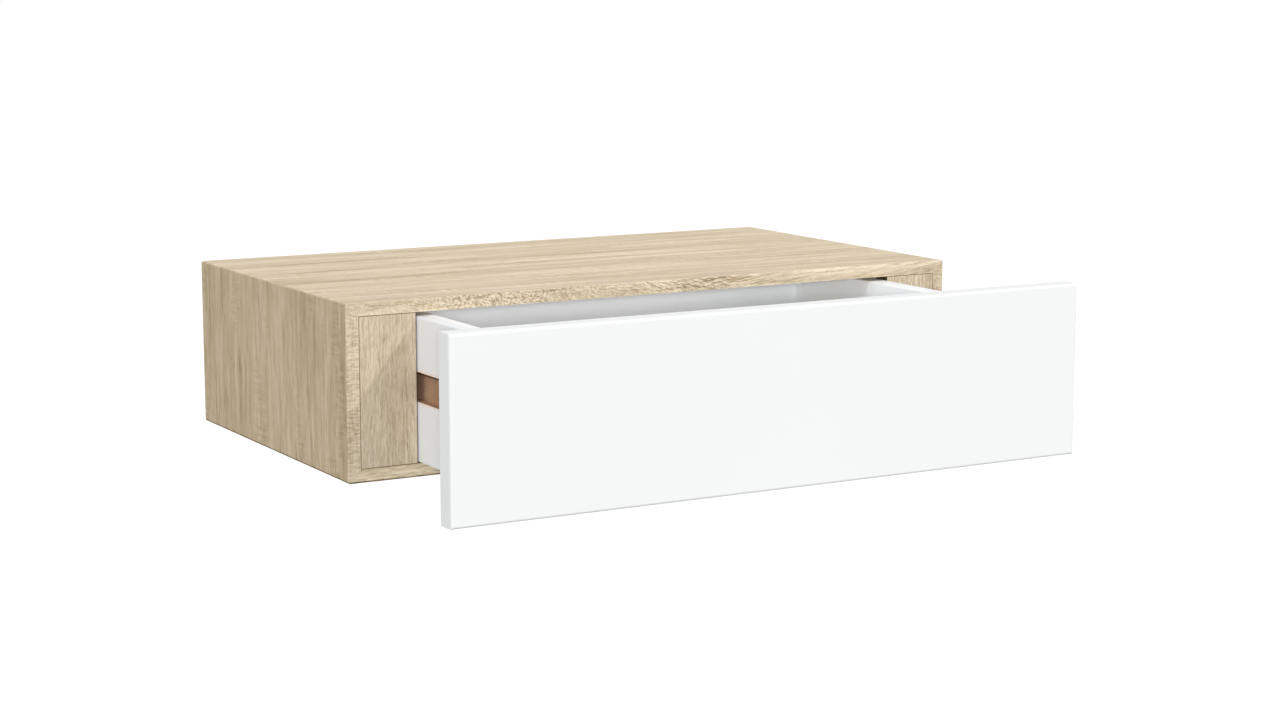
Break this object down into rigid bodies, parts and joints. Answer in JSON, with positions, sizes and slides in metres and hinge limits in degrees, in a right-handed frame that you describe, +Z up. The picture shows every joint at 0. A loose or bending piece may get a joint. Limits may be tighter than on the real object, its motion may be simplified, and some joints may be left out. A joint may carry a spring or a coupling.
{
  "type": "wall shelf with drawer",
  "caption": "Wall-hung shelf case with a mitred shell, a concealed prong bracket and a grooved drawer that slides straight out on strip runners.",
  "frame": {"origin": "in the wall plane, midway between the screw holes of the wall bar, which is the middle of the shelf's back", "axes": "+X along the wall to the right seen from the front, +Y into the wall, +Z up, the drawer opens along -Y"},
  "size_m": [0.4, 0.3525, 0.1],
  "materials": {
    "oak_foil": "pale oak-look foil on fibreboard, fine pores, satin",
    "inner_board": "pale oak-look foil on fibreboard, satin",
    "raw_board": "raw wood, sawn",
    "back_board": "thin brown hardboard",
    "runner_strip": "smooth off-white nylon",
    "steel": "black powder coat",
    "zinc": "bright zinc plate",
    "white_board": "smooth white foil on fibreboard, raw brown board in the runner grooves",
    "white_bottom": "thin hardboard, white on top"
  },
  "bodies": {
    "case": {"top_panel": "oak_foil", "bottom_panel": "oak_foil", "left_side_panel": "oak_foil", "right_side_panel": "oak_foil", "left_front_stile": "oak_foil", "right_front_stile": "oak_foil", "left_inner_side": "inner_board", "right_inner_side": "inner_board", "stile_tongues": "raw_board", "back_panel": "back_board", "left_runner": "runner_strip", "right_runner": "runner_strip", "runner_screws": "zinc", "wall_bar": "steel", "left_prong": "steel", "right_prong": "steel", "left_prong_block": "raw_board", "right_prong_block": "raw_board", "lock_screws": "zinc"},
    "drawer": {"drawer_front": "white_board", "drawer_left_side": "white_board", "drawer_right_side": "white_board", "drawer_back": "white_board", "drawer_bottom": "white_bottom", "cam_bolts": "zinc", "cam_nuts": "zinc", "front_dowels": "raw_board", "back_screws": "zinc"}
  },
  "joints": [
    {"name": "drawer_slide", "type": "slide", "parent": "case", "child": "drawer", "axis": [0, -1, 0], "range_m": [-0.1173, 0.0395]}
  ]
}
